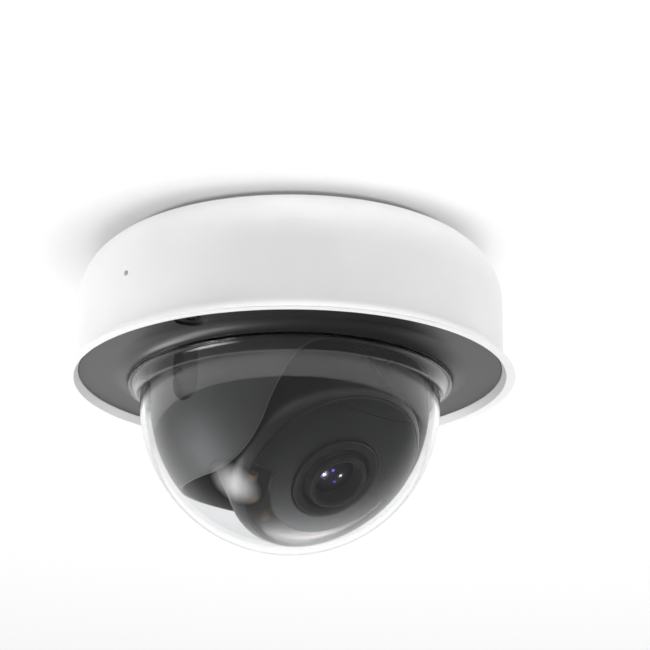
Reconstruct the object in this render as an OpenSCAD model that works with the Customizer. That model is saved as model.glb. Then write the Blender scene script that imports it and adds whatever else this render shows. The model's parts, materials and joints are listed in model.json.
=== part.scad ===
// Ceiling dome camera. The origin is the centre of the mounting face, +Z points into the
// ceiling, and the dome hangs down along -Z. Azimuths are measured from -Y towards +X.

/* [Cover] */
// Radius of the cover's side wall
cover_r = 78.2; // [78:0.1:78.4]
// Depth from the ceiling to the underside of the lip
cover_h = 51.8; // [51.5:0.1:52]
// Wall thickness of the cover
cover_wall = 2.2; // [2:0.1:2.3]
// Outer radius of the flared lip
lip_r = 83; // [82.5:0.5:86]
// Radius of the centre of the crown's elliptical curve
crown_r = 52; // [51.5:0.1:52.5]
// Height of the crown's curve
crown_h = 24; // [23.5:0.5:24]
// Radius of the open edge that the crown ends in, just under the ceiling
crown_edge_r = 59.5; // [59.2:0.1:60]

/* [Dome] */
// Outer radius of the clear dome
dome_r = 55.2; // [55:0.1:55.4]
// Wall thickness of the clear dome
dome_wall = 1.8; // [1.4:0.1:1.8]
// Depth of the dome's centre below the ceiling
dome_depth = 62.5; // [62.3:0.1:63]
// Radius of the seam where the dome leaves the bezel
seam_r = 59.6; // [59.6:0.1:59.9]

/* [Shroud] */
// Outer radius of the dark liner inside the dome
shroud_r = 51.2; // [51.1:0.1:51.5]
// Wall thickness of the liner
shroud_wall = 1.2; // [1:0.1:1.2]
// Half width of the slot that the lens looks through
slot_half = 37.8; // [37.7:0.1:38]
// Height of the slot's upper edge above the dome's centre
slot_top = 12; // [10:0.5:13]
// Width of the slot's rounded upper corners
slot_corner = 20; // [16:1:24]
// Height of the slot's rounded upper corners
slot_corner_h = 30; // [26:1:32]
// Reach of the slot behind the dome's centre
slot_rear = 41; // [38:0.5:42]

/* [Aim] */
// Azimuth that the lens faces at rest
pan_rest = 42; // [0:1:90]
// Angle of the lens below the horizontal at rest
tilt_rest = 52; // [25:1:90]
// Depth of the tilt axis below the dome's centre
tilt_drop = 2.3; // [2.2:0.1:2.4]

/* [Lens head] */
// Largest radius of the lens head
head_r = 37.3; // [37:0.1:37.4]
// Distance of the flat face from the tilt axis
face_l = 38.4; // [38.2:0.1:38.5]
// Radius of the face plate inside the rim
face_r = 34.2; // [34:0.1:34.3]
// Radius of the roll bearing
roll_r = 30; // [29.5:0.5:30]
// Outer radius of the lens barrel
barrel_r = 13; // [12:0.5:13]

/* [Mounting] */
// Radius of the circle of ceiling screws
screw_circle_r = 45; // [44:0.5:46]
// Radius of each ceiling screw hole
screw_hole_r = 2.6; // [2.2:0.1:3]
// Radius of the hole for the network cable in its grommet
cable_r = 3.2; // [2.5:0.1:3.5]

/* [Hidden] */
$fn = 96;

// Levels down from the ceiling
plate_low = -2;
housing_top = -2.4;
floor_low = -5.4;
board_top = -14;
board_low = -15.6;
deck_top = -22;
deck_low = -24.5;
turntable_top = -25.5;
turntable_low = -28.5;
housing_low = -43;
bezel_top = -47.1;
bezel_low = -49.3;
lip_low = -cover_h;
retainer_top = -43.6;
retainer_low = -45.4;
flange_top = -46.5;
flange_low = -48.3;
dome_z = -dome_depth;
tilt_z = dome_z - tilt_drop;

// Cover, housing and seal radii
cover_inner = cover_r - cover_wall;
housing_r = 73.5;
housing_wall = 3;
housing_inner = housing_r - housing_wall;
lip_inner = 77.85;
lip_mouth = 79.5;
plate_r = 57.5;
grommet_hole_r = 12.5;
boss_r = 3;
boss_circle = 70.3;
pocket_r = 6.2;
pocket_h = 0.7;
cover_screw_azimuth = -31;
mic_azimuth = -50;
mic_z = -28.2;

// Ring that clamps the dome into the bezel
flange_r = 65;
retainer_r = 66;
ear_circle = 67.8;
ear_r = 2.5;

// Deck, bearings and boards
deck_r = 66;
deck_post_circle = 58;
hub_r = 20;
fit_gap = 0.05;
board_r = 39;
standoff_circle = 34;
chip_offset = 31;
service_circle = 56;
service_azimuth = 116;

// Yoke arms and the tilt pivots, measured along the tilt axis
arm_inner = 40.5;
arm_outer = 43.5;
trunnion_end = 39.3;
bush_inner = 33.2;
pin_r = 2.5;
bush_r = 3.9;
arm_half = 8;

// Lens head, measured along the lens axis from the tilt axis
cradle_low = -8;
cradle_high = 5.2;
carrier_low = -8.15;
flange_l = 5.4;
shell_l = 7.8;
cradle_r = 34.2;
rim_round = 8.9;
rim_angle = 46;
face_edge_l = 35.7;
shell_wall = 1.6;
face_centre_l = 40.45;
face_ledge_l = 33.2;
lens_ring_r = 17.3;
window_inner = 25.5;
window_top_y = -5;
chord_y = 28.4;
window_gap = 0.1;
chord_gap = 0.3;
ir_board_l = 30.6;
bore_r = 9;
zoom_ring_low = 9.5;
zoom_ring_high = 15.5;
sensor_l = -14.6;

// Azimuths of the infrared emitters around the lens axis
led_angles = [205, 225, 248, 292, 315, 335];

// Points of an elliptical arc
function arc(cx, cy, rx, ry, from, to, steps) =
    [for (i = [0:steps]) let (a = from + (to - from) * i / steps) [cx + rx * cos(a), cy + ry * sin(a)]];

module ring(outer, inner, low, high) {
    translate([0, 0, low]) difference() {
        cylinder(r = outer, h = high - low);
        translate([0, 0, -1]) cylinder(r = inner, h = high - low + 2);
    }
}

module block(centre, size) {
    translate(centre) cube(size, center = true);
}

module around(count, radius, first) {
    for (i = [0:count - 1]) {
        rotate([0, 0, first + i * 360 / count]) translate([0, -radius, 0]) children();
    }
}

module at_azimuth(angle, radius, z) {
    rotate([0, 0, angle]) translate([0, -radius, z]) children();
}

// Pan frame: the lens looks along -Y and the tilt axis is X
module in_pan_frame() {
    rotate([0, 0, pan_rest]) children();
}

// Lens frame: +Z is the lens axis, X is the tilt axis, the origin is on the tilt axis
module in_lens_frame() {
    translate([0, 0, tilt_z]) rotate([0, 0, pan_rest]) rotate([90 + tilt_rest, 0, 0]) children();
}

// Screw with its shank up along +Z from the origin and a socket head below
module screw(head_r, head_h, shank_r, length) {
    difference() {
        union() {
            translate([0, 0, -head_h]) cylinder(r = head_r, h = head_h);
            cylinder(r = shank_r, h = length);
        }
        translate([0, 0, -head_h - 1]) cylinder(r = head_r * 0.5, h = 1 + head_h * 0.6, $fn = 6);
    }
}

// Slot with round ends, cut along X
module slot_cut(length, radius, low, high) {
    for (side = [-1, 1]) {
        translate([side * length / 2, 0, low]) cylinder(r = radius, h = high - low);
    }
    translate([-length / 2, -radius, low]) cube([length, 2 * radius, high - low]);
}

// --- Fixed pieces -------------------------------------------------------------------------

module mount_plate() {
    color("silver") difference() {
        translate([0, 0, plate_low]) cylinder(r = plate_r, h = -plate_low);
        translate([0, 0, plate_low - 1]) cylinder(r = 17, h = 4);
        around(4, screw_circle_r, 45) translate([0, 0, plate_low - 1]) cylinder(r = screw_hole_r, h = 4);
        around(4, 35, 0) slot_cut(12, 2.2, plate_low - 1, 1);
        around(3, 51, 90) slot_cut(9, 2.5, plate_low - 1, 1);
        around(3, 51, 97) translate([0, 0, plate_low - 1]) cylinder(r = 4, h = 4);
    }
}

module base_housing() {
    outline = concat(
        [[grommet_hole_r, housing_top]],
        arc(crown_r, -crown_h, housing_r - crown_r, crown_h + housing_top, 90, 0, 10),
        [[housing_r, housing_low], [housing_inner, housing_low]],
        arc(crown_r, -crown_h, housing_inner - crown_r, crown_h + floor_low, 0, 90, 10),
        [[grommet_hole_r, floor_low]]);
    color("dimgray") difference() {
        union() {
            rotate_extrude() polygon(outline);
            around(4, deck_post_circle, 0) {
                translate([0, 0, deck_top]) cylinder(r = 4, h = floor_low - deck_top + 0.3);
            }
            around(2, boss_circle, cover_screw_azimuth) {
                translate([0, 0, bezel_top + 0.2]) cylinder(r = boss_r, h = 22);
            }
        }
        around(4, screw_circle_r, 45) translate([0, 0, floor_low - 1]) cylinder(r = 5, h = 6);
        around(4, deck_post_circle, 0) translate([0, 0, deck_top - 1]) cylinder(r = 1.3, h = 11);
        around(2, boss_circle, cover_screw_azimuth) {
            translate([0, 0, bezel_top - 1]) cylinder(r = 1.6, h = 18);
        }
    }
}

module cover() {
    width = cover_r - crown_r;
    inner_width = cover_inner - crown_r;
    edge = acos((crown_edge_r - crown_r) / width);
    inner_edge = acos((crown_edge_r - crown_r) / inner_width);
    outline = concat(
        arc(crown_r, -crown_h, width, crown_h, edge, 0, 16),
        arc(lip_r, lip_low + 5, lip_r - cover_r - 0.3, 4.4, 180, 270, 8),
        [[lip_r, lip_low], [lip_mouth, lip_low], [lip_inner, bezel_low]],
        [[lip_inner, bezel_top], [cover_inner, bezel_top]],
        arc(crown_r, -crown_h, inner_width, crown_h - cover_wall, 0, inner_edge, 16));
    color("white") difference() {
        rotate_extrude() polygon(outline);
        at_azimuth(mic_azimuth, cover_r - 4, mic_z) rotate([90, 0, 0]) cylinder(r = 1, h = 8);
    }
}

module bezel() {
    groove_r = retainer_r + 0.2;
    groove_low = flange_low - 0.05;
    outline = concat(
        [[lip_inner - 0.15, bezel_top], [lip_inner - 0.15, bezel_low]],
        arc(67, -53.6, 67 - seam_r, 4, 90, 180, 10),
        [[seam_r, groove_low], [groove_r, groove_low], [groove_r, bezel_top]]);
    color([0.2, 0.2, 0.21]) difference() {
        union() {
            rotate_extrude() polygon(outline);
            around(6, ear_circle, 10) translate([0, 0, bezel_top - 0.5]) {
                cylinder(r = ear_r - 0.2, h = retainer_low - bezel_top + 0.5);
            }
        }
        around(6, ear_circle, 10) translate([0, 0, bezel_top - 1.3]) cylinder(r = 1, h = 5);
        around(2, boss_circle, cover_screw_azimuth) {
            translate([0, 0, bezel_low - 1]) cylinder(r = 1.8, h = 5);
            translate([0, 0, bezel_low - 1]) cylinder(r = pocket_r, h = 1 + pocket_h);
        }
    }
}

module dome() {
    inner = dome_r - dome_wall;
    neck = seam_r - 0.15;
    flare_z = -59.6;
    flare_h = 4.8;
    outline = concat(
        arc(0, dome_z, dome_r, dome_r, 270, 360, 24),
        arc(neck, flare_z, neck - dome_r, flare_h, 180, 90, 8),
        [[neck, flange_low], [flange_r, flange_low]],
        [[flange_r, flange_top], [neck - dome_wall, flange_top]],
        arc(neck, flare_z, neck - inner, flare_h + dome_wall, 108, 180, 8),
        arc(0, dome_z, inner, inner, 360, 270, 24));
    color([0.85, 0.9, 0.95, 0.3]) rotate_extrude() polygon(outline);
}

module dome_gasket() {
    color("black") ring(flange_r - 0.4, seam_r + 0.5, flange_top, retainer_low);
}

module dome_retainer() {
    color("gray") difference() {
        union() {
            translate([0, 0, retainer_low]) cylinder(r = retainer_r, h = retainer_top - retainer_low);
            around(6, ear_circle, 10) translate([0, 0, retainer_low]) {
                cylinder(r = ear_r, h = retainer_top - retainer_low);
            }
        }
        translate([0, 0, retainer_low - 1]) cylinder(r = seam_r + 0.3, h = 5);
        around(6, ear_circle, 10) translate([0, 0, retainer_low - 1]) cylinder(r = 1.2, h = 5);
    }
}

module retainer_screws() {
    color("silver") around(6, ear_circle, 10) {
        translate([0, 0, retainer_top]) rotate([180, 0, 0]) screw(2, 1.2, 0.95, 4.6);
    }
}

module cover_screws() {
    color([0.25, 0.25, 0.26]) around(2, boss_circle, cover_screw_azimuth) {
        translate([0, 0, bezel_low + pocket_h]) screw(3.2, pocket_h - 0.1, 1.5, 14);
    }
}

module housing_seal() {
    color("black") difference() {
        ring(housing_r - 0.2, housing_inner + 0.2, bezel_top, housing_low);
        around(2, boss_circle, cover_screw_azimuth) {
            translate([0, 0, bezel_top - 1]) cylinder(r = boss_r + 0.3, h = 7);
        }
    }
}

module cable_grommet() {
    outline = [[cable_r, -0.9], [15.2, -0.9], [15.8, -1.4], [15.8, housing_top],
        [grommet_hole_r, housing_top], [grommet_hole_r, floor_low], [15, floor_low], [14.4, -6.6],
        [7, -8.4], [cable_r, -8.4]];
    color([0.12, 0.12, 0.12]) rotate_extrude() polygon(outline);
}

module main_board() {
    color("darkgreen") difference() {
        ring(board_r, 17, board_low, board_top);
        around(4, standoff_circle, 45) translate([0, 0, board_low - 1]) cylinder(r = 1.3, h = 4);
        block([0, 31, board_low], [16.6, 22, 6]);
    }
}

module board_standoffs() {
    color("goldenrod") around(4, standoff_circle, 45) difference() {
        translate([0, 0, board_top]) cylinder(r = 2.6, h = floor_low - board_top, $fn = 6);
        translate([0, 0, board_top - 1]) cylinder(r = 1.25, h = 7);
    }
}

module board_screws() {
    color("silver") around(4, standoff_circle, 45) {
        translate([0, 0, board_low]) screw(2.3, 1.5, 1.2, 6);
    }
}

module processor() {
    color([0.15, 0.15, 0.16]) block([chip_offset - 3, 0, board_low - 0.9], [14, 14, 1.8]);
}

module thermal_pad() {
    color("lightsteelblue") block([chip_offset - 3, 0, board_low - 2.3], [13, 13, 1]);
}

module heat_block() {
    top = board_low - 2.8;
    color("silver") difference() {
        translate([chip_offset - 6, -8, deck_top]) cube([20, 16, top - deck_top]);
        for (y = [-5, 0, 5]) {
            translate([chip_offset + 6, y - 1, deck_top + 1.2]) cube([10, 2, 4]);
        }
    }
}

module memory_chips() {
    color([0.1, 0.1, 0.1]) for (y = [-12, 12]) {
        block([-27, y, board_low - 0.6], [11, 9, 1.2]);
    }
}

module power_parts() {
    color("dimgray") {
        block([-27, 0, board_low - 2], [9, 9, 4]);
        for (x = [-8, 8]) {
            translate([x, -30, board_top]) cylinder(r = 3.2, h = 7);
        }
        block([0, -29, board_low - 1.6], [12, 10, 3.2]);
    }
}

module network_jack() {
    color("silver") difference() {
        block([0, 31, -12.8], [16, 21, 13.2]);
        block([0, 19.5, -12.6], [12, 26, 8]);
        block([0, 22, -17.4], [6, 8, 3]);
    }
}

module service_board() {
    color("darkgreen") at_azimuth(service_azimuth, service_circle, deck_low) difference() {
        block([0, 0, -0.6], [16, 9, 1.2]);
        translate([6, 0, -2]) cylinder(r = 1, h = 3);
    }
}

module switch_body() {
    color("silver") at_azimuth(service_azimuth, service_circle, deck_low - 1.2) difference() {
        block([-3, 0, -1], [6, 6, 2]);
        translate([-3, 0, -3]) cylinder(r = 1.5, h = 2.4);
    }
}

module reset_button() {
    color("black") at_azimuth(service_azimuth, service_circle, deck_low - 1.2) {
        translate([-3, 0, -3.2]) cylinder(r = 1.4, h = 1.7);
    }
}

module status_led() {
    color("lime") at_azimuth(service_azimuth, service_circle, deck_low - 1.2) {
        block([3, 0, -0.5], [2, 1.2, 1]);
    }
}

module microphone() {
    color("silver") at_azimuth(mic_azimuth, 74, mic_z) rotate([90, 0, 0]) cylinder(r = 2, h = 1);
}

module microphone_boot() {
    color("black") at_azimuth(mic_azimuth, 73.9, mic_z) rotate([90, 0, 0]) difference() {
        cylinder(r = 3.4, h = 1.7);
        translate([0, 0, -1]) cylinder(r = 2, h = 2.1);
        cylinder(r = 0.8, h = 3);
    }
}

module deck() {
    color("slategray") difference() {
        ring(deck_r, hub_r, deck_low, deck_top);
        around(4, deck_post_circle, 0) translate([0, 0, deck_low - 1]) cylinder(r = 1.6, h = 5);
        around(4, screw_circle_r, 45) translate([0, 0, deck_low - 1]) cylinder(r = 6, h = 5);
        around(2, 49, 90) slot_cut(10, 3, deck_low - 1, deck_top + 1);
    }
}

module deck_screws() {
    color("silver") around(4, deck_post_circle, 0) {
        translate([0, 0, deck_low]) screw(2.8, 1.8, 1.25, 9);
    }
}

module pan_washer() {
    color("ivory") ring(30, 22, turntable_top, deck_low);
}

// --- Pieces that pan ----------------------------------------------------------------------

module turntable() {
    color("darkslategray") in_pan_frame() difference() {
        union() {
            translate([0, 0, turntable_low]) cylinder(r = shroud_r, h = turntable_top - turntable_low);
            translate([0, 0, turntable_top]) cylinder(r = hub_r - fit_gap, h = 5);
        }
        translate([0, 0, turntable_low - 1]) cylinder(r = 14, h = 12);
        around(4, 47.5, 45) translate([0, 0, turntable_low - 1]) cylinder(r = 1.2, h = 6);
        for (side = [-1, 1], y = [-4, 4]) {
            translate([side * 37, y, turntable_low - 1]) cylinder(r = 1.3, h = 6);
        }
        around(2, 34, 0) slot_cut(14, 3, turntable_low - 1, turntable_top + 1);
    }
}

module pan_clip() {
    color("silver") in_pan_frame() difference() {
        ring(23.5, hub_r - fit_gap, deck_top + 0.1, deck_top + 1.1);
        block([0, -22, deck_top], [5, 6, 4]);
    }
}

module yoke_arm(side) {
    foot_low = turntable_low - 2.5;
    color("slategray") in_pan_frame() difference() {
        union() {
            translate([side > 0 ? arm_inner : -arm_outer, -arm_half, tilt_z])
                cube([arm_outer - arm_inner, 2 * arm_half, turntable_low - tilt_z]);
            translate([side * arm_inner, 0, tilt_z]) rotate([0, side * 90, 0])
                cylinder(r = arm_half, h = arm_outer - arm_inner);
            translate([side > 0 ? 34 : -arm_outer, -arm_half, foot_low])
                cube([arm_outer - 34, 2 * arm_half, turntable_low - foot_low]);
        }
        translate([side * (arm_inner - 1), 0, tilt_z]) rotate([0, side * 90, 0])
            cylinder(r = pin_r + fit_gap, h = 6);
        for (y = [-4, 4]) {
            translate([side * 37, y, foot_low - 1]) cylinder(r = 1.4, h = 5);
        }
        translate([side * (arm_inner - 1), 0, (tilt_z + turntable_low) / 2]) rotate([0, side * 90, 0])
            cylinder(r = 4, h = 6);
    }
}

module left_yoke_arm() {
    yoke_arm(-1);
}

module right_yoke_arm() {
    yoke_arm(1);
}

module yoke_screws() {
    color("silver") in_pan_frame() for (side = [-1, 1], y = [-4, 4]) {
        translate([side * 37, y, turntable_low - 2.5]) screw(2.2, 1.6, 1.2, 5);
    }
}

module tilt_pins() {
    color("silver") in_pan_frame() for (side = [-1, 1]) {
        translate([side * arm_outer, 0, tilt_z]) rotate([0, -side * 90, 0])
            screw(5, 2, pin_r, arm_outer - bush_inner - 0.4);
    }
}

module tilt_washers() {
    color("goldenrod") in_pan_frame() for (side = [-1, 1]) {
        translate([side * (trunnion_end + 0.1), 0, tilt_z]) rotate([0, side * 90, 0])
            ring(5.8, pin_r + fit_gap, 0, arm_inner - trunnion_end - 0.1);
    }
}

// Outline of the slot as seen along the lens's heading, from the dome's centre
function slot_outline() = concat(
    [[-slot_half, -shroud_r - 5], [slot_half, -shroud_r - 5]],
    arc(slot_half - slot_corner, slot_top - slot_corner_h, slot_corner, slot_corner_h, 0, 90, 12),
    arc(slot_corner - slot_half, slot_top - slot_corner_h, slot_corner, slot_corner_h, 90, 180, 12));

// Rounded rear end of the slot as seen from below
function slot_end() = concat(
    [[-slot_half, -1], [slot_half, -1]],
    arc(0, 0, slot_half, slot_rear, 0, 180, 24));

// Round-bottomed notch over each tilt pivot, open upwards to the bezel
module cheek_notch(half_width, from, depth) {
    translate([from, 0, tilt_z]) rotate([0, 90, 0]) cylinder(r = half_width, h = depth);
    translate([from, -half_width, tilt_z]) cube([depth, 2 * half_width, 14]);
}

module shroud() {
    inner = shroud_r - shroud_wall;
    outline = concat(
        arc(0, dome_z, shroud_r, shroud_r, 270, 360, 24),
        [[shroud_r, turntable_low], [45, turntable_low]],
        [[45, turntable_low - 2], [inner, turntable_low - 2]],
        arc(0, dome_z, inner, inner, 360, 270, 24));
    color([0.3, 0.3, 0.31]) in_pan_frame() difference() {
        rotate_extrude() polygon(outline);
        translate([0, 0, dome_z]) rotate([90, 0, 0])
            linear_extrude(shroud_r + 5) polygon(slot_outline());
        translate([0, 0, dome_z - shroud_r - 5]) linear_extrude(shroud_r) polygon(slot_end());
        cheek_notch(6.6, shroud_r - 6, 10);
        cheek_notch(6.6, -shroud_r - 4, 10);
        around(4, 47.5, 45) translate([0, 0, turntable_low - 4]) cylinder(r = 1.1, h = 6);
    }
}

module cheek_inserts() {
    color([0.22, 0.22, 0.23]) in_pan_frame() for (from = [47.4, -48.5]) {
        cheek_notch(8, from, 1.1);
    }
}

module shroud_screws() {
    color("silver") in_pan_frame() around(4, 47.5, 45) {
        translate([0, 0, turntable_top]) rotate([180, 0, 0]) screw(2, 0.8, 1.05, 4.4);
    }
}

// --- Pieces that tilt ---------------------------------------------------------------------

module cradle() {
    color("darkslategray") in_lens_frame() difference() {
        union() {
            translate([0, 0, cradle_low]) cylinder(r = cradle_r, h = cradle_high - cradle_low);
            for (side = [-1, 1]) {
                rotate([0, side * 90, 0]) cylinder(r = cradle_high, h = trunnion_end);
            }
        }
        translate([0, 0, cradle_low - 4]) cylinder(r = roll_r, h = cradle_high - cradle_low + 8);
        for (side = [-1, 1]) {
            translate([side * bush_inner, 0, 0]) rotate([0, side * 90, 0]) cylinder(r = bush_r, h = 9);
        }
    }
}

module tilt_bushes() {
    color("goldenrod") in_lens_frame() for (side = [-1, 1]) {
        rotate([0, side * 90, 0]) ring(bush_r, pin_r + fit_gap, bush_inner, trunnion_end);
    }
}

// --- Pieces that roll about the lens axis ---------------------------------------------------

module lens_carrier() {
    color("dimgray") in_lens_frame() difference() {
        union() {
            ring(roll_r - fit_gap, 25.5, carrier_low, flange_l);
            ring(cradle_r, barrel_r, flange_l, shell_l);
        }
        around(4, 20, 45) translate([0, 0, flange_l - 1]) cylinder(r = 3, h = 5);
        around(3, 31, 30) translate([0, 0, shell_l - 1.6]) cylinder(r = 1, h = 5);
    }
}

module roll_clip() {
    color("silver") in_lens_frame() ring(32.6, 25.5, carrier_low - 1.5, carrier_low);
}

// Outer profile of the lens head from its rear edge to the inner edge of its rim
function head_outline() = concat(
    [[34.9, shell_l]],
    arc(head_r - rim_round, face_l - rim_round, rim_round, rim_round, 0, rim_angle, 8));

module eyeball_shell() {
    rim_end = face_l - rim_round + rim_round * sin(rim_angle);
    outline = concat(
        head_outline(),
        [[face_r, rim_end], [face_r, face_ledge_l], [face_r - 1.2, face_ledge_l],
        [head_r - shell_wall - 0.6, face_ledge_l - 3], [34.9 - shell_wall, shell_l]]);
    color([0.16, 0.16, 0.17]) in_lens_frame() rotate_extrude() polygon(outline);
}

// Slightly domed front disc of the lens head, before its windows are cut
module face_blank(outer, inner) {
    outline = concat(
        arc(0, face_edge_l, outer, face_centre_l - face_edge_l, 0, acos(inner / outer), 10),
        [[inner, 37.6], [28, 35.4], [32.4, face_ledge_l], [outer, face_ledge_l]]);
    rotate_extrude() polygon(outline);
}

// Crescent below the lens and chord segment above it, seen along the lens axis
module crescent_area(inner, grow) {
    difference() {
        translate([-40, -40, 25]) cube([80, 40 + window_top_y + grow, 20]);
        translate([0, 0, 20]) cylinder(r = inner, h = 30);
    }
}

module chord_area(grow) {
    translate([-40, chord_y - grow, 25]) cube([80, 20, 20]);
}

module face_plate() {
    color([0.13, 0.13, 0.14]) in_lens_frame() difference() {
        face_blank(face_r - 0.05, lens_ring_r + 0.1);
        crescent_area(window_inner, window_gap);
        chord_area(chord_gap);
    }
}

module ir_window() {
    color([0.1, 0.02, 0.03, 0.8]) in_lens_frame() intersection() {
        face_blank(face_r - 0.05, lens_ring_r + 0.1);
        crescent_area(window_inner + window_gap, 0);
    }
}

module sensor_window() {
    color([0.1, 0.02, 0.03, 0.8]) in_lens_frame() intersection() {
        face_blank(face_r - 0.05, lens_ring_r + 0.1);
        chord_area(0);
    }
}

module ir_board() {
    color("darkgreen") in_lens_frame() difference() {
        ring(32.2, 21, ir_board_l - 1.2, ir_board_l);
        translate([-40, window_top_y, ir_board_l - 3]) cube([80, 80, 6]);
    }
}

module ir_leds() {
    color("gold") in_lens_frame() for (a = led_angles) {
        rotate([0, 0, a]) {
            block([29.6, 0, ir_board_l + 0.4], [3.4, 3.4, 0.8]);
            translate([29.6, 0, ir_board_l + 0.8]) cylinder(r = 1.3, h = 0.7);
        }
    }
}

module light_sensor() {
    color("darkgreen") in_lens_frame() {
        block([0, 29.4, ir_board_l - 0.6], [12, 5, 1.2]);
        block([0, 29.8, ir_board_l + 0.5], [3, 2, 1]);
    }
}

module lens_bezel() {
    outline = concat(
        [[barrel_r + 0.05, 36.2], [barrel_r + 0.05, 40]],
        arc(15.1, 40, 2, 1.3, 180, 0, 8),
        [[lens_ring_r - 0.2, 37], [lens_ring_r + 1.4, 37], [lens_ring_r + 1.4, 36.2]]);
    color([0.14, 0.14, 0.15]) in_lens_frame() rotate_extrude() polygon(outline);
}

module lens_barrel() {
    outline = concat(
        [[bore_r, sensor_l + 0.4], [16, sensor_l + 0.4], [16, sensor_l + 2], [barrel_r, sensor_l + 2],
        [barrel_r, 38.6], [11.2, 40.6]],
        arc(10.3, 42.4, 0.9, 0.9, 0, 180, 6),
        [[8, 39.4], [8, 36.5], [bore_r, 36.5]]);
    color([0.1, 0.1, 0.1]) in_lens_frame() rotate_extrude() polygon(outline);
}

module front_lens() {
    rise = 2.2;
    outline = concat(
        [[0, 37.2], [7.95, 37.2]],
        [for (i = [0:8]) let (r = 7.95 * (1 - i / 8)) [r, 39.2 + rise * (1 - pow(r / 7.95, 2))]]);
    color([0.3, 0.2, 0.5, 0.6]) in_lens_frame() rotate_extrude() polygon(outline);
}

module rear_lens() {
    color([0.5, 0.6, 0.6, 0.6]) in_lens_frame() {
        translate([0, 0, -6]) cylinder(r = bore_r - 0.02, h = 4);
    }
}

module zoom_ring() {
    color([0.2, 0.2, 0.2]) in_lens_frame() difference() {
        ring(16, barrel_r + fit_gap, zoom_ring_low, zoom_ring_high);
        for (i = [0:23]) {
            rotate([0, 0, i * 15]) translate([16.4, 0, zoom_ring_low - 1])
                cylinder(r = 0.8, h = 8, $fn = 12);
        }
    }
}

module zoom_cell() {
    color("dimgray") in_lens_frame() difference() {
        translate([0, 0, 8]) cylinder(r = bore_r - fit_gap, h = 8);
        translate([0, 0, 13]) cylinder(r = 6.5, h = 6);
        translate([0, 0, 5]) cylinder(r = 5.5, h = 6);
    }
}

module sensor_board() {
    color("darkgreen") in_lens_frame() block([0, 0, sensor_l - 0.4], [32, 32, 1.6]);
}

module image_sensor() {
    color("lightslategray") in_lens_frame() block([0, 0, sensor_l + 1.2], [10, 8, 1.6]);
}

module rear_can() {
    can_r = 24.2;
    color("gray") in_lens_frame() difference() {
        translate([0, 0, -23]) cylinder(r = can_r, h = 14);
        translate([0, 0, -21.5]) cylinder(r = can_r - 1.4, h = 14);
        for (y = [-12:4:12]) {
            block([0, y, -22.5], [24, 1.6, 6]);
        }
    }
}

mount_plate();
base_housing();
cover();
bezel();
dome();
dome_gasket();
dome_retainer();
retainer_screws();
cover_screws();
housing_seal();
cable_grommet();
main_board();
board_standoffs();
board_screws();
processor();
thermal_pad();
heat_block();
memory_chips();
power_parts();
network_jack();
service_board();
switch_body();
status_led();
microphone();
microphone_boot();
deck();
deck_screws();
pan_washer();
reset_button();
turntable();
pan_clip();
left_yoke_arm();
right_yoke_arm();
yoke_screws();
tilt_pins();
tilt_washers();
shroud();
cheek_inserts();
shroud_screws();
cradle();
tilt_bushes();
lens_carrier();
roll_clip();
eyeball_shell();
face_plate();
ir_window();
sensor_window();
ir_board();
ir_leds();
light_sensor();
lens_bezel();
lens_barrel();
front_lens();
rear_lens();
zoom_ring();
zoom_cell();
sensor_board();
image_sensor();
rear_can();
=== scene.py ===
"""A ceiling dome camera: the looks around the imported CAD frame. Lengths are in millimetres
until a mesh is made, where MM turns them into metres."""

import json
import math

import bmesh
import bpy
from mathutils import Matrix, Vector


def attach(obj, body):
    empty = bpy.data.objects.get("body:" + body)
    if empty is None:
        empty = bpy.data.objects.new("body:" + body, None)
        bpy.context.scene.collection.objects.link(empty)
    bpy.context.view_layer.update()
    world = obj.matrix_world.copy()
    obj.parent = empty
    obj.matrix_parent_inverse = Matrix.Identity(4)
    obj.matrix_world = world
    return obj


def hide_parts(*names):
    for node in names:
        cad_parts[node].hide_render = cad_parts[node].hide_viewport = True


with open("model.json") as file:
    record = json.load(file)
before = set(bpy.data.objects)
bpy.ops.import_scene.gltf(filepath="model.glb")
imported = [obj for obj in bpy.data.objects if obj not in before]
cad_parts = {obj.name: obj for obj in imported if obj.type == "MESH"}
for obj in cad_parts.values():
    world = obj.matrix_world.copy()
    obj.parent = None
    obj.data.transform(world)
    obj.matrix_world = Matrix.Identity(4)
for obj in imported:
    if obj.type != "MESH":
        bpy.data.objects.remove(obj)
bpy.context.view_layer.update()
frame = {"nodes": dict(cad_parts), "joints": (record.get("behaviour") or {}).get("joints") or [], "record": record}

MM = 0.001
AROUND = 256            # steps round a large turned piece
AROUND_SMALL = 128      # steps round a small turned piece

# Cover, bezel and dome, as in the CAD model
COVER_R = 78.2
COVER_WALL = 2.2
CROWN_R = 52.0
CROWN_H = 24.0
CROWN_EDGE_R = 59.5
LIP_R = 83.0
LIP_LOW = -51.8
LIP_INNER = 77.85
LIP_MOUTH = 79.5
BEZEL_TOP = -47.1
BEZEL_LOW = -49.3
SEAM_R = 59.6
SEAM_LOW = -53.6
BOSS_CIRCLE = 70.3
POCKET_R = 6.2
POCKET_H = 0.7
SCREW_AZIMUTH = -31
MIC_AZIMUTH = -50
MIC_Z = -28.2
MIC_HOLE_R = 1.15
DOME_R = 55.2
DOME_WALL = 1.8
DOME_Z = -62.5
SEAM_GAP = 0.08
FLARE_Z = -59.6
FLARE_H = 4.8
DOME_FLANGE_R = 65.0
DOME_FLANGE_LOW = -48.3
DOME_FLANGE_TOP = -46.5

BEZEL_FLAT_R = 67.0     # where the bezel's flat face turns up to the seam
BEZEL_HOLE_R = 66.2
SCREW_HOLE_R = 1.8

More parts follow.
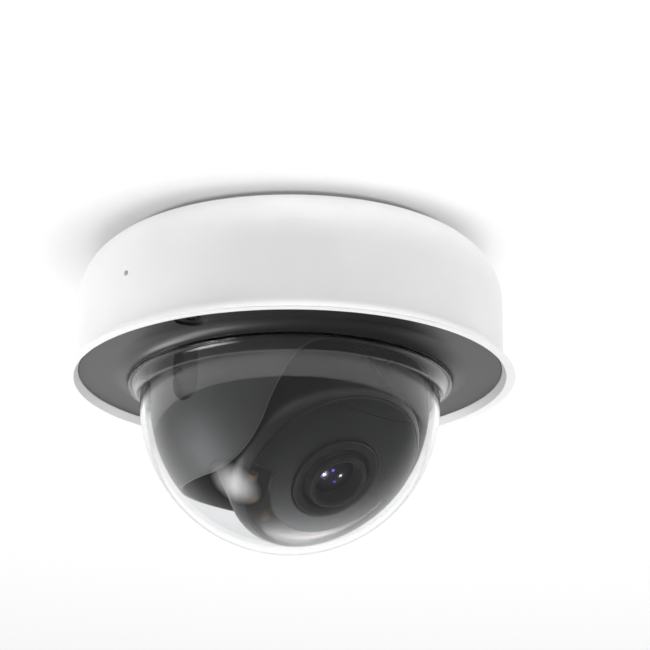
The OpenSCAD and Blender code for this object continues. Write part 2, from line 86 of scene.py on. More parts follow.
# Liner, and the plates in its notches
LINER_R = 51.2
LINER_WALL = 1.2
LINER_TOP = -28.5
EDGE_NUDGE = 0.004      # half the angle over which the slot's edge is taken as straight
SLOT_HALF = 37.8
SLOT_TOP = 12.0
SLOT_CORNER = 20.0
SLOT_CORNER_H = 30.0
SLOT_REAR = 41.0
BEAD_R = 0.18
NOTCH_HALF = 6.6
NOTCH_TOP = 14.0
CHEEK_R = 48.9
CHEEK_WALL = 1.2
CHEEK_HALF = 8.2
CHEEK_LOW = -8.4
CHEEK_TOP = 15.5

# Lens head: radii round the lens axis, and levels along it from the tilt axis
HEAD_R = 37.3
HEAD_BACK = 7.8
HEAD_BACK_R = 34.9
FACE_L = 38.4
RIM_ROUND = 8.9
RIM_ANGLE = 46
FACE_R = 34.2
FACE_EDGE = 35.7
FACE_CENTRE = 40.45
FACE_LEDGE = 33.2
LENS_RING_R = 17.3
WINDOW_INNER = 25.5
WINDOW_TOP = -5.0
CHORD_Y = 28.4
SEAM_GAPS = (0.12, 0.3)  # round the window and along the straight seam
LENS_RING_FOOT = 36.2
LENS_RING_LOW = 37.0
LENS_RING_TOP = 40.0
LENS_RING_CREST_R = 15.1
BARREL_R = 13.0
BARREL_BACK = -14.2
BARREL_COLLAR_R = 16.0
BARREL_COLLAR = 1.6
BARREL_TIP_R = 10.3
BARREL_TIP = 42.4
BORE_R = 9.0
BORE_STEPS = 6
BORE_STEP = 0.5
BORE_TAPER = 0.12
BORE_TOP = 41.2
FRONT_GLASS_R = 7.9
FRONT_GLASS_BACK = 37.2
FRONT_GLASS_EDGE = 38.4
FRONT_GLASS_RISE = 2.0
SECOND_GLASS_R = 6.6
SECOND_GLASS_BACK = 34.9
SECOND_GLASS_EDGE = 35.6
STOP_R = 2.4
STOP_LEVEL = 33.2
CUT_LOW = 20.0          # the face's cutters reach from here to CUT_HIGH along the lens axis
CUT_HIGH = 50.0
CUT_WIDE = 40.0

joints = {j["name"]: j for j in frame["joints"]}
TILT_AXIS = Vector(joints["tilt"]["axis"]).normalized()
LENS_AXIS = Vector(joints["roll"]["axis"]).normalized()
TILT_POINT = Vector(joints["roll"]["pos_m"])
TILT_Z = TILT_POINT.z / MM
PAN_FRAME = Matrix.Rotation(math.atan2(TILT_AXIS.y, TILT_AXIS.x), 4, "Z")
LENS_FRAME = Matrix.Translation(TILT_POINT) @ Matrix(
    (TILT_AXIS, LENS_AXIS.cross(TILT_AXIS), LENS_AXIS)).transposed().to_4x4()
DOME_FRAME = PAN_FRAME @ Matrix.Translation((0, 0, DOME_Z * MM))
ROW_FRAME = Matrix.Identity(4)


# --- Mesh helpers ---------------------------------------------------------------------------

def arc(cx, cy, rx, ry, start, end, steps):
    """Points of an elliptical arc, angles in degrees."""
    angles = [math.radians(start + (end - start) * i / steps) for i in range(steps + 1)]
    return [(cx + rx * math.cos(a), cy + ry * math.sin(a)) for a in angles]


def rounded(points, radius, steps=4):
    """A closed outline with its sharp corners rounded, by no more than the sides allow."""
    out = []
    count = len(points)
    for i, p in enumerate(points):
        here = Vector(p[:2])
        before = Vector(points[i - 1][:2]) - here
        after = Vector(points[(i + 1) % count][:2]) - here
        on_axis = abs(here.x) < 1e-6
        if on_axis or before.length < 1e-6 or after.length < 1e-6:
            out.append(tuple(here))
            continue
        corner = before.angle(after)
        turn = math.pi - corner
        if turn < math.radians(22):
            out.append(tuple(here))
            continue
        reach = min(radius / math.tan(corner / 2), before.length * 0.45, after.length * 0.45)
        start = here + before.normalized() * reach
        end = here + after.normalized() * reach
        for k in range(steps + 1):
            t = k / steps
            point = start * (1 - t) ** 2 + here * 2 * t * (1 - t) + end * t ** 2
            out.append(tuple(point))
    return out


def finish_mesh(name, bm, placing, body, material, replaces=()):
    """Makes a smooth object from bm (in mm) at placing, and ties it to its body."""
    bmesh.ops.recalc_face_normals(bm, faces=bm.faces)
    mesh = bpy.data.meshes.new(name)
    bm.to_mesh(mesh)
    bm.free()
    mesh.transform(placing @ Matrix.Scale(MM, 4))
    mesh.shade_smooth()
    piece = bpy.data.objects.new(name, mesh)
    bpy.context.scene.collection.objects.link(piece)
    piece.data.materials.append(MATERIALS[material])
    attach(piece, body)
    for node in replaces:
        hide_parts(node)
    return piece


def even_shading(piece):
    """Flat stretches keep flat shading beside their rounded edges."""
    weights = piece.modifiers.new("even_shading", "WEIGHTED_NORMAL")
    weights.keep_sharp = True
    weights.weight = 80
    return piece


def lathe_into(bm, outline, steps):
    """Adds a closed (r, z) outline turned about Z to bm."""
    rings = []
    for r, z in outline:
        if abs(r) < 1e-6:
            rings.append([bm.verts.new((0, 0, z))])
            continue
        angles = [2 * math.pi * i / steps for i in range(steps)]
        rings.append([bm.verts.new((r * math.cos(a), r * math.sin(a), z)) for a in angles])
    for i, ring in enumerate(rings):
        other = rings[(i + 1) % len(rings)]
        for k in range(steps):
            corners = [ring[k % len(ring)], ring[(k + 1) % len(ring)],
                       other[(k + 1) % len(other)], other[k % len(other)]]
            unique = list(dict.fromkeys(corners))
            if len(unique) > 2:
                bm.faces.new(unique)


def skin(bm, loops):
    """Adds faces between closed loops of vertices that follow each other round a ring."""
    for one, other in zip(loops, loops[1:] + loops[:1]):
        for k in range(len(one)):
            n = (k + 1) % len(one)
            bm.faces.new((one[k], one[n], other[n], other[k]))


def turned(name, outline, body, material, replaces=(), placing=ROW_FRAME, steps=AROUND,
           corner=0.3):
    """A turned piece: a closed (r, z) outline, its corners rounded, about the Z of placing."""
    bm = bmesh.new()
    lathe_into(bm, rounded(outline, corner) if corner else outline, steps)
    return even_shading(finish_mesh(name, bm, placing, body, material, replaces))


def cut(piece, bm, placing, operation="DIFFERENCE"):
    """Cuts piece by the closed mesh in bm (in mm), at once."""
    bm.transform(placing @ Matrix.Scale(MM, 4))
    bmesh.ops.recalc_face_normals(bm, faces=bm.faces)
    mesh = bpy.data.meshes.new("cutter")
    bm.to_mesh(mesh)
    bm.free()
    cutter = bpy.data.objects.new("cutter", mesh)
    bpy.context.scene.collection.objects.link(cutter)
    boolean = piece.modifiers.new("cut", "BOOLEAN")
    boolean.operation = operation
    boolean.solver = "EXACT"
    boolean.object = cutter
    kept = [m for m in piece.modifiers if m.name != "cut"]
    shown = [m.show_viewport for m in kept]
    for m in kept:
        m.show_viewport = False
    depsgraph = bpy.context.evaluated_depsgraph_get()
    result = bpy.data.meshes.new_from_object(piece.evaluated_get(depsgraph))
    piece.modifiers.remove(boolean)
    for m, state in zip(kept, shown):
        m.show_viewport = state
    old = piece.data
    piece.data = result
    bpy.data.meshes.remove(old)
    bpy.data.objects.remove(cutter)
    mark_sharp(piece)
    return piece


def mark_sharp(piece, angle=35):
    """Edges that turn by more than angle shade as edges."""
    bm = bmesh.new()
    bm.from_mesh(piece.data)
    limit = math.radians(angle)
    for edge in bm.edges:
        edge.smooth = not (len(edge.link_faces) == 2 and edge.calc_face_angle() > limit)
    for face in bm.faces:
        face.smooth = True
    bm.to_mesh(piece.data)
    bm.free()


def prism(outline, low, high):
    """A closed straight prism over an (x, y) outline, as a new bmesh."""
    bm = bmesh.new()
    bottom = [bm.verts.new((x, y, low)) for x, y in outline]
    top = [bm.verts.new((x, y, high)) for x, y in outline]
    bm.faces.new(bottom[::-1])
    bm.faces.new(top)
    count = len(outline)
    for i in range(count):
        j = (i + 1) % count
        bm.faces.new((bottom[i], bottom[j], top[j], top[i]))
    return bm


def circle(radius, steps=48):
    return arc(0, 0, radius, radius, 0, 360, steps)[:-1]


def at_azimuth(angle, radius, z):
    """A place off the upright axis, turned by an angle from -Y towards +X, its -Y outwards."""
    return (Matrix.Rotation(math.radians(angle), 4, "Z")
            @ Matrix.Translation((0, -radius * MM, z * MM)))


# --- Materials ------------------------------------------------------------------------------

MATERIALS = {}


def blank_tree(owner):
    """The emptied node tree of a material or a world."""
    owner.use_nodes = True
    owner.node_tree.nodes.clear()
    return owner.node_tree


def add_node(tree, kind, operation=None, **inputs):
    """A node of a kind such as MixShader, with the values of its inputs by their names."""
    made = tree.nodes.new("ShaderNode" + kind)
    if operation:
        made.operation = operation
    for key, value in inputs.items():
        made.inputs[key.replace("_", " ")].default_value = value
    return made


class Shader:
    """A small builder for node materials."""

    def __init__(self, slot):
        self.material = bpy.data.materials.new(slot)
        self.material.use_nodes = True
        self.tree = self.material.node_tree
        self.surface = self.tree.nodes["Principled BSDF"]
        self.output = self.tree.nodes["Material Output"]
        self.place = self.node("TexCoord").outputs["Object"]
        MATERIALS[slot] = self.material

    def node(self, kind, **inputs):
        return add_node(self.tree, kind, **inputs)

    def link(self, source, target):
        self.tree.links.new(source, target)

    def set(self, **values):
        for key, value in values.items():
            self.surface.inputs[key.replace("_", " ")].default_value = value
        return self

    def noise(self, scale, detail=3.0, stretch=None, roughness=0.5):
        made = self.node("TexNoise", Scale=scale, Detail=detail, Roughness=roughness)
        source = self.place
        if stretch:
            mapping = self.node("Mapping", Scale=stretch)
            self.link(source, mapping.inputs["Vector"])
            source = mapping.outputs["Vector"]
        self.link(source, made.inputs["Vector"])
        return made.outputs["Fac"]

    def ramp(self, source, low, high, start=0.35, end=0.65):
        """Runs from colour low to colour high as source goes from start to end."""
        made = self.node("ValToRGB")
        made.color_ramp.elements[0].position = start
        made.color_ramp.elements[1].position = end
        made.color_ramp.elements[0].color = (*low, 1)
        made.color_ramp.elements[1].color = (*high, 1)
        self.link(source, made.inputs["Fac"])
        return made.outputs["Color"]

    def span(self, source, low, high):
        made = self.node("MapRange", To_Min=low, To_Max=high)
        self.link(source, made.inputs["Value"])
        return made.outputs["Result"]

    def colour(self, source):
        self.link(source, self.surface.inputs["Base Color"])
        return self

    def rough(self, source, low, high):
        self.link(self.span(source, low, high), self.surface.inputs["Roughness"])
        return self

    def bump(self, source, height, strength=1.0):
        """Bump of a real height in millimetres."""
        made = self.node("Bump", Strength=strength, Distance=height * MM)
        self.link(source, made.inputs["Height"])
        self.link(made.outputs["Normal"], self.surface.inputs["Normal"])
        return self


def moulded(slot, low, high, rough=(0.4, 0.5), grain=2600.0, height=0.012, coat=0.0):
    """Moulded plastic, rubber or paint: a fine grain over a slow, slight change of tone."""
    s = Shader(slot)
    fine = s.noise(grain, detail=2.0)
    slow = s.noise(45.0, detail=4.0)
    s.colour(s.ramp(slow, low, high))
    s.rough(fine, *rough)
    s.bump(fine, height)
    s.set(Coat_Weight=coat, Coat_Roughness=0.12)
    return s


def metal(slot, low, high, rough=(0.28, 0.45), stretch=(1, 1, 1), grain=900.0, height=0.004):
    """Bare metal with a directional or cast grain."""
    s = Shader(slot)
    lines = s.noise(grain, detail=5.0, stretch=stretch)
    patches = s.noise(60.0, detail=5.0)
    s.colour(s.ramp(patches, low, high))
    s.rough(lines, *rough)
    s.bump(lines, height)
    s.set(Metallic=1.0)
    return s


def clear_glass(slot, tint, ior, rough=0.0):
    """Clear moulding that lets lamps through to what is behind it."""
    s = Shader(slot)
    s.set(Base_Color=(*tint, 1), Roughness=rough, IOR=ior, Transmission_Weight=1.0)
    return s


def lamps_pass(s, tint):
    """Mixes in plain transparency for shadow rays."""
    clear = s.node("BsdfTransparent", Color=(*tint, 1))
    path = s.node("LightPath")
    mix = s.node("MixShader")
    s.link(path.outputs["Is Shadow Ray"], mix.inputs["Fac"])
    s.link(s.surface.outputs["BSDF"], mix.inputs[1])
    s.link(clear.outputs["BSDF"], mix.inputs[2])
    s.link(mix.outputs["Shader"], s.output.inputs["Surface"])


def board(slot):
    """Solder mask over copper tracks, with bare pads."""
    s = Shader(slot)
    tracks = s.node("TexBrick", Scale=320.0, Mortar_Size=0.045,
                    Color1=(0.010, 0.085, 0.035, 1), Color2=(0.014, 0.110, 0.045, 1),
                    Mortar=(0.035, 0.210, 0.085, 1))
    s.link(s.place, tracks.inputs["Vector"])
    s.colour(tracks.outputs["Color"])
    s.rough(s.noise(300.0), 0.25, 0.4)
    s.bump(tracks.outputs["Fac"], 0.03)
    return s


def make_materials():
    moulded("cover_white", (0.745, 0.745, 0.745), (0.77, 0.77, 0.77), (0.42, 0.52), 2300, 0.015)
    moulded("bezel_grey", (0.027, 0.027, 0.028), (0.031, 0.031, 0.032), (0.34, 0.42), 2400, 0.008)
    moulded("liner_grey", (0.050, 0.050, 0.051), (0.057, 0.057, 0.058), (0.39, 0.41), 3000, 0.001)
    moulded("cheek_grey", (0.009, 0.009, 0.009), (0.012, 0.012, 0.012), (0.42, 0.50), 3000, 0.002)
    # trim_grey is much lighter than the liner: it is a painted highlight along the slot's edge, carried by the
    # bead.
    moulded("trim_grey", (0.13, 0.13, 0.13), (0.17, 0.17, 0.17), (0.25, 0.35), 3000, 0.002)
    head = moulded("head_black", (0.017, 0.017, 0.018), (0.020, 0.020, 0.021), (0.26, 0.32),
                   3000, 0.003)
    head.set(Specular_IOR_Level=0.4)
    moulded("lens_black", (0.014, 0.014, 0.015), (0.020, 0.020, 0.021), (0.42, 0.55), 3200, 0.006)
    moulded("rubber_black", (0.012, 0.012, 0.012), (0.022, 0.022, 0.022), (0.6, 0.75), 1500, 0.02)
    moulded("chip_black", (0.012, 0.012, 0.013), (0.02, 0.02, 0.02), (0.45, 0.6), 4000, 0.01)
    moulded("button_black", (0.012, 0.012, 0.012), (0.02, 0.02, 0.02), (0.35, 0.45), 3000, 0.006)
    moulded("pad_grey", (0.26, 0.30, 0.34), (0.34, 0.38, 0.42), (0.6, 0.8), 900, 0.03)
    moulded("washer_white", (0.72, 0.71, 0.66), (0.80, 0.79, 0.75), (0.3, 0.42), 1500, 0.01)
    moulded("sensor_face", (0.03, 0.05, 0.09), (0.06, 0.09, 0.12), (0.08, 0.14), 5000, 0.002,
            coat=1.0)
    moulded("led_clear", (0.35, 0.75, 0.35), (0.45, 0.85, 0.45), (0.15, 0.25), 2000, 0.004)
    moulded("led_amber", (0.80, 0.66, 0.40), (0.90, 0.78, 0.52), (0.15, 0.25), 2000, 0.004)
    metal("steel", (0.52, 0.53, 0.55), (0.66, 0.67, 0.69), (0.24, 0.42), (1, 14, 1), 700)
    metal("screw_black", (0.05, 0.05, 0.052), (0.08, 0.08, 0.083), (0.4, 0.5), (1, 1, 1), 1200)
    metal("die_cast", (0.33, 0.34, 0.36), (0.42, 0.43, 0.45), (0.42, 0.6), (1, 1, 1), 1500, 0.02)
    metal("brass", (0.60, 0.43, 0.16), (0.72, 0.54, 0.24), (0.2, 0.35), (1, 1, 10), 900)
    board("board_green")
    lamps_pass(clear_glass("dome_clear", (0.97, 0.975, 0.98), 1.49), (0.93, 0.935, 0.94))
    lamps_pass(clear_glass("smoked_window", (0.30, 0.26, 0.25), 1.49, 0.15), (0.35, 0.33, 0.32))
    lamps_pass(clear_glass("lens_glass", (0.20, 0.18, 0.26), 1.40, 0.14), (0.75, 0.72, 0.80))


# --- Housing --------------------------------------------------------------------------------

def make_cover():
    """The white cover, with its crown, its flared lip and the microphone's hole."""
    inner = COVER_R - COVER_WALL
    width = COVER_R - CROWN_R
    inner_width = inner - CROWN_R
    edge = math.degrees(math.acos((CROWN_EDGE_R - CROWN_R) / width))
    inner_edge = math.degrees(math.acos((CROWN_EDGE_R - CROWN_R) / inner_width))
    outline = (
        arc(CROWN_R, -CROWN_H, width, CROWN_H, edge, 0, 40)
        + [(COVER_R + 0.1, -30), (COVER_R + 0.2, -38)]
        + arc(LIP_R - 0.6, LIP_LOW + 5, LIP_R - COVER_R - 0.9, 4.2, 180, 262, 18)
        + [(LIP_R - 0.15, LIP_LOW + 0.62), (LIP_R, LIP_LOW + 0.3), (LIP_R - 0.15, LIP_LOW)]
        + [(LIP_MOUTH, LIP_LOW), (LIP_INNER, BEZEL_LOW), (LIP_INNER, BEZEL_TOP)]
        + [(inner, BEZEL_TOP)]
        + arc(CROWN_R, -CROWN_H, inner_width, CROWN_H - COVER_WALL, 0, inner_edge, 30))
    cover = turned("cover_shell", outline, "base", "cover_white", ["cover"], corner=0.25,
                   steps=384)
    inwards = Matrix.Rotation(-math.pi / 2, 4, "X")
    cut(cover, prism(circle(MIC_HOLE_R, 32), 0, 8),
        at_azimuth(MIC_AZIMUTH, COVER_R + 4, MIC_Z) @ inwards)
    return cover


def make_bezel():
    """The dark ring inside the lip, with two pockets for the captive screws."""
    edge = LIP_INNER - 0.15
    flat = BEZEL_LOW - 0.3
    seat = DOME_FLANGE_LOW - 0.05
    outline = (
        [(edge, BEZEL_TOP), (edge, BEZEL_LOW), (BEZEL_FLAT_R, flat)]
        + arc(BEZEL_FLAT_R, SEAM_LOW, BEZEL_FLAT_R - SEAM_R, flat - SEAM_LOW, 90, 180, 24)[1:]
        + [(SEAM_R, seat), (BEZEL_HOLE_R, seat), (BEZEL_HOLE_R, BEZEL_TOP)])
    bezel = turned("bezel_ring", outline, "base", "bezel_grey", ["bezel"], corner=0.3)
    for turn in (0, 180):
        place = at_azimuth(SCREW_AZIMUTH + turn, BOSS_CIRCLE, BEZEL_LOW)
        cut(bezel, prism(circle(POCKET_R), -1, POCKET_H), place)
        cut(bezel, prism(circle(SCREW_HOLE_R), -1, 6), place)
    return bezel


def make_dome():
    """The clear dome: a half sphere, a flare up to the seam, and a hidden flange."""
    inner = DOME_R - DOME_WALL
    neck = SEAM_R - SEAM_GAP
    flare_r = neck - DOME_R
    outline = (
        arc(0, DOME_Z, DOME_R, DOME_R, 270, 360, 96)
        + arc(neck, FLARE_Z, flare_r, FLARE_H, 180, 90, 20)
        + [(neck, DOME_FLANGE_LOW), (DOME_FLANGE_R, DOME_FLANGE_LOW)]
        + [(DOME_FLANGE_R, DOME_FLANGE_TOP), (neck - DOME_WALL, DOME_FLANGE_TOP)]
        + arc(neck, FLARE_Z, flare_r + DOME_WALL, FLARE_H + DOME_WALL, 108, 180, 20)
        + arc(0, DOME_Z, inner, inner, 360, 270, 96))
    return turned("clear_dome", outline, "base", "dome_clear", ["dome"], corner=0.15)


# --- Liner ----------------------------------------------------------------------------------

def slot_height(azimuth):
    """Height above the dome's centre of the slot's edge, at an azimuth from the lens's heading.
    The slot has straight sides, rounded upper corners and a round rear end, seen from below."""
    mid = LINER_R - LINER_WALL / 2
    side = abs(math.sin(azimuth))
    if math.cos(azimuth) <= 0 or side > 0.999:
        reach = 1 / math.hypot(side / SLOT_HALF, math.cos(azimuth) / SLOT_REAR)
        return -math.sqrt(mid ** 2 - reach ** 2)
    low, high = -math.sqrt(mid ** 2 - SLOT_HALF ** 2), SLOT_TOP
    for _ in range(40):
        z = (low + high) / 2
        across = math.sqrt(mid ** 2 - z ** 2) * side
        corner = SLOT_HALF - SLOT_CORNER
        above = (z - (SLOT_TOP - SLOT_CORNER_H)) / SLOT_CORNER_H
        limit = SLOT_HALF
        if above > 0:
            limit = corner + SLOT_CORNER * math.sqrt(max(1 - above ** 2, 0))
        if across < limit:
            low = z
        else:
            high = z
    return (low + high) / 2


def liner_edge(azimuth):
    """Point of the slot's edge at mid wall, in mm, in the pan frame about the dome's centre."""
    z = slot_height(azimuth)
    mid = LINER_R - LINER_WALL / 2
    r = math.sqrt(mid ** 2 - z ** 2)
    return Vector((r * math.sin(azimuth), -r * math.cos(azimuth), z))


def make_liner():
    """The dark slotted shell, as a grid whose columns end on the slot's rounded edge."""
    columns = 480
    rows = 60
    edge_steps = 6
    half = LINER_WALL / 2
    mid = LINER_R - half
    top = LINER_TOP - DOME_Z
    bm = bmesh.new()
    loops = []
    for i in range(columns):
        azimuth = 2 * math.pi * i / columns
        edge = liner_edge(azimuth)
        ahead = liner_edge(azimuth + EDGE_NUDGE) - liner_edge(azimuth - EDGE_NUDGE)
        normal = edge.normalized()
        inwards = normal.cross(ahead).normalized()
        if inwards.z < 0:
            inwards = -inwards
        centre = edge + inwards * half
        heading = Vector((math.sin(azimuth), -math.cos(azimuth), 0))
        low_angle = math.asin(max(-1, min(1, centre.z / mid)))
        walls = []
        for radius in (LINER_R, LINER_R - LINER_WALL):
            side = []
            total = top + mid * max(0, -low_angle) if low_angle < 0 else top - centre.z
            for k in range(rows):
                down = total * k / rows
                if down <= top:
                    side.append(heading * radius + Vector((0, 0, top - down)))
                else:
                    a = -(down - top) / mid
                    up = Vector((0, 0, radius * math.sin(a)))
                    side.append(heading * radius * math.cos(a) + up)
            walls.append(side)
        outer, inner = walls
        turns = [math.pi * k / edge_steps for k in range(edge_steps + 1)]
        around_edge = [centre + normal * half * math.cos(a) - inwards * half * math.sin(a)
                       for a in turns]
        loops.append([bm.verts.new(p) for p in outer + around_edge + inner[::-1]])
    skin(bm, loops)
    liner = finish_mesh("liner_shell", bm, DOME_FRAME, "pan_head", "liner_grey", ["shroud"])
    for side in (-1, 1):
        notch = prism(arc(0, 0, NOTCH_HALF, NOTCH_HALF, 180, 360, 24)
                      + [(NOTCH_HALF, NOTCH_TOP), (-NOTCH_HALF, NOTCH_TOP)], 0, 10)
        turn = Matrix(((0, 0, side, 0), (1, 0, 0, 0), (0, 1, 0, 0), (0, 0, 0, 1)))
        cut(liner, notch, PAN_FRAME @ Matrix.Translation((side * 46 * MM, 0, TILT_POINT.z)) @ turn)
    return even_shading(liner)


def make_slot_bead():
    """A fine round bead along the outer edge of the liner's slot, in a light grey that paints the highlight the
    edge catches.
    """
    columns = 480
    sides = 8
    bm = bmesh.new()
    loops = []
    for i in range(columns):
        azimuth = 2 * math.pi * i / columns
        edge = liner_edge(azimuth)
        ahead = liner_edge(azimuth + EDGE_NUDGE) - liner_edge(azimuth - EDGE_NUDGE)
        outwards = edge.normalized()
        across = outwards.cross(ahead).normalized()
        centre = outwards * (LINER_R - BEAD_R) + across * (BEAD_R if across.z > 0 else -BEAD_R)
        turns = [2 * math.pi * k / sides for k in range(sides)]
        loops.append([bm.verts.new(centre + (outwards * math.cos(a) + across * math.sin(a)) * BEAD_R)
                      for a in turns])
    skin(bm, loops)
    return finish_mesh("slot_bead", bm, DOME_FRAME, "pan_head", "trim_grey")


def make_cheek_inserts():
    """Curved plates inside the liner's notches."""
    bm = bmesh.new()
    half_angle = math.asin(CHEEK_HALF / CHEEK_R)
    steps = 24
    for side in (-1, 1):
        sheets = []
        for r in (CHEEK_R, CHEEK_R - CHEEK_WALL):
            grid = []
            for i in range(steps + 1):
                a = -half_angle + 2 * half_angle * i / steps
                y = math.sin(a) / math.sin(half_angle) * CHEEK_HALF
                bottom = CHEEK_LOW + CHEEK_HALF - math.sqrt(max(CHEEK_HALF ** 2 - y * y, 0.0))
                column = []
                for k in range(steps + 1):
                    z = bottom + (CHEEK_TOP - bottom) * k / steps + TILT_Z - DOME_Z
                    flat = math.sqrt(r ** 2 - min(z, 0) ** 2)
                    column.append(bm.verts.new((side * flat * math.cos(a), flat * math.sin(a), z)))
                grid.append(column)
            sheets.append(grid)
        for grid in sheets:
            for i in range(steps):
                for k in range(steps):
                    bm.faces.new((grid[i][k], grid[i + 1][k], grid[i + 1][k + 1], grid[i][k + 1]))
        border = ([(i, 0) for i in range(steps)] + [(steps, k) for k in range(steps)]
                  + [(i, steps) for i in range(steps, 0, -1)] + [(0, k) for k in range(steps, 0, -1)])
        for n, (i, k) in enumerate(border):
            j, m = border[(n + 1) % len(border)]
            bm.faces.new((sheets[0][i][k], sheets[0][j][m], sheets[1][j][m], sheets[1][i][k]))
    piece = finish_mesh("cheek_plates", bm, DOME_FRAME, "pan_head", "cheek_grey",
                        ["cheek_inserts"])
    mark_sharp(piece)
    return even_shading(piece)


# --- Lens head ------------------------------------------------------------------------------

def make_head_shell():
    """The ball's shell, with a rounded rim that holds the face."""
    centre_r = HEAD_R - RIM_ROUND
    centre_l = FACE_L - RIM_ROUND
    end = math.radians(RIM_ANGLE)
    rim_end = centre_l + RIM_ROUND * math.sin(end)
    outline = (
        [(HEAD_BACK_R, HEAD_BACK)]
        + arc(centre_r, centre_l, RIM_ROUND, RIM_ROUND, 0, RIM_ANGLE, 24)
        + [(FACE_R, rim_end), (FACE_R, FACE_LEDGE), (FACE_R - 1.2, FACE_LEDGE)]
        + [(HEAD_R - 2.2, FACE_LEDGE - 3), (HEAD_BACK_R - 1.6, HEAD_BACK)])
    return turned("head_rim", outline, "lens_head", "head_black", ["eyeball_shell"],
                  placing=LENS_FRAME, corner=0.18)


def face_blank(name, material, replaces):
    """The whole domed face as a ring round the lens, from which its three pieces are cut."""
    outer = FACE_R - 0.12
    inner = LENS_RING_R + 0.12
    end = math.degrees(math.acos(inner / outer))
    outline = (
        arc(0, FACE_EDGE, outer, FACE_CENTRE - FACE_EDGE, 0, end, 32)
        + [(inner, 37.6), (28, 35.4), (32.4, FACE_LEDGE), (outer, FACE_LEDGE)])
    return turned(name, outline, "lens_head", material, replaces, placing=LENS_FRAME,
                  corner=0.12, steps=AROUND)


def crescent(grow):
    """The window's area below the lens, grown on its inner sides."""
    inner = WINDOW_INNER - grow
    reach = math.degrees(math.asin((WINDOW_TOP + grow) / inner))
    return (arc(0, 0, inner, inner, 180 - reach, 360 + reach, 48)
            + [(CUT_WIDE, WINDOW_TOP + grow), (CUT_WIDE, -CUT_WIDE)]
            + [(-CUT_WIDE, -CUT_WIDE), (-CUT_WIDE, WINDOW_TOP + grow)])


def chord(grow):
    """The area above the straight seam, grown downwards."""
    low = CHORD_Y - grow
    return [(-CUT_WIDE, low), (CUT_WIDE, low), (CUT_WIDE, CUT_WIDE), (-CUT_WIDE, CUT_WIDE)]


def make_face():
    """The face plate round the lens, the smoked window below and the piece above the seam."""
    plate = face_blank("front_plate", "head_black", ["face_plate"])
    for area in (crescent(SEAM_GAPS[0]), chord(SEAM_GAPS[1])):
        cut(plate, prism(area, CUT_LOW, CUT_HIGH), LENS_FRAME)
    lower = face_blank("lower_window", "smoked_window", ["ir_window"])
    cut(lower, prism(crescent(0), CUT_LOW, CUT_HIGH), LENS_FRAME, "INTERSECT")
    upper = face_blank("upper_window", "head_black", ["sensor_window"])
    cut(upper, prism(chord(0), CUT_LOW, CUT_HIGH), LENS_FRAME, "INTERSECT")
    return [plate, lower, upper]


def make_lens_mounts():
    """The trim ring in the face, the lens tube with its stepped bore, and the stop inside."""
    ring = (
        [(BARREL_R + 0.1, LENS_RING_FOOT), (BARREL_R + 0.1, LENS_RING_TOP)]
        + arc(LENS_RING_CREST_R, LENS_RING_TOP, 1.95, 1.3, 180, 0, 16)
        + [(LENS_RING_R - 0.25, LENS_RING_LOW), (LENS_RING_R + 1.3, LENS_RING_LOW)]
        + [(LENS_RING_R + 1.3, LENS_RING_FOOT)])
    turned("lens_trim_ring", ring, "lens_head", "lens_black", ["lens_bezel"],
           placing=LENS_FRAME, steps=AROUND_SMALL, corner=0.12)
    bore = [(BORE_R - BORE_TAPER * i, level - BORE_STEP * i)
            for i in range(BORE_STEPS) for level in (BORE_TOP, BORE_TOP - 0.45)]
    collar = BARREL_BACK + BARREL_COLLAR
    tube = (
        [(BORE_R, BARREL_BACK), (BARREL_COLLAR_R, BARREL_BACK)]
        + [(BARREL_COLLAR_R, collar), (BARREL_R, collar), (BARREL_R, 38.6), (11.6, 40.4)]
        + [(BARREL_TIP_R + 1, BARREL_TIP)] + arc(BARREL_TIP_R, BARREL_TIP, 0.95, 0.9, 0, 180, 12)
        + bore + [(8, 38.1), (8, 36.5), (BORE_R, 36.5)])
    turned("lens_tube", tube, "lens_head", "lens_black", ["lens_barrel"],
           placing=LENS_FRAME, steps=AROUND_SMALL, corner=0.1)
    outer = BORE_R - 0.1
    upper = STOP_LEVEL + 0.4
    stop = [(STOP_R, STOP_LEVEL), (outer, STOP_LEVEL), (outer, upper), (4.2, upper + 0.3),
            (STOP_R, upper)]
    turned("aperture_stop", stop, "lens_head", "lens_black", placing=LENS_FRAME,
           steps=AROUND_SMALL, corner=0.05)


def bowed(radius, level, rise, steps):
    """Points of a lens surface from its rim to the axis, rising from level by rise."""
    shares = [1 - i / steps for i in range(steps + 1)]
    return [(radius * t, level + rise * (1 - t ** 2)) for t in shares]


def make_lens_glass():
    """The front element, and a second one behind it that mirrors the lamps again."""
    second = (bowed(SECOND_GLASS_R, SECOND_GLASS_BACK, -0.5, 12)[::-1]
              + bowed(SECOND_GLASS_R, SECOND_GLASS_EDGE, 1.1, 12))
    behind = turned("second_element", second, "lens_head", "lens_glass", placing=LENS_FRAME,
                    steps=AROUND_SMALL, corner=0)
    front = ([(0, FRONT_GLASS_BACK), (FRONT_GLASS_R, FRONT_GLASS_BACK)]
             + bowed(FRONT_GLASS_R, FRONT_GLASS_EDGE, FRONT_GLASS_RISE, 20))
    ahead = turned("front_element", front, "lens_head", "lens_glass", ["front_lens"],
                   placing=LENS_FRAME, steps=AROUND_SMALL, corner=0)
    return [ahead, behind]


# --- Stage, light and camera ----------------------------------------------------------------

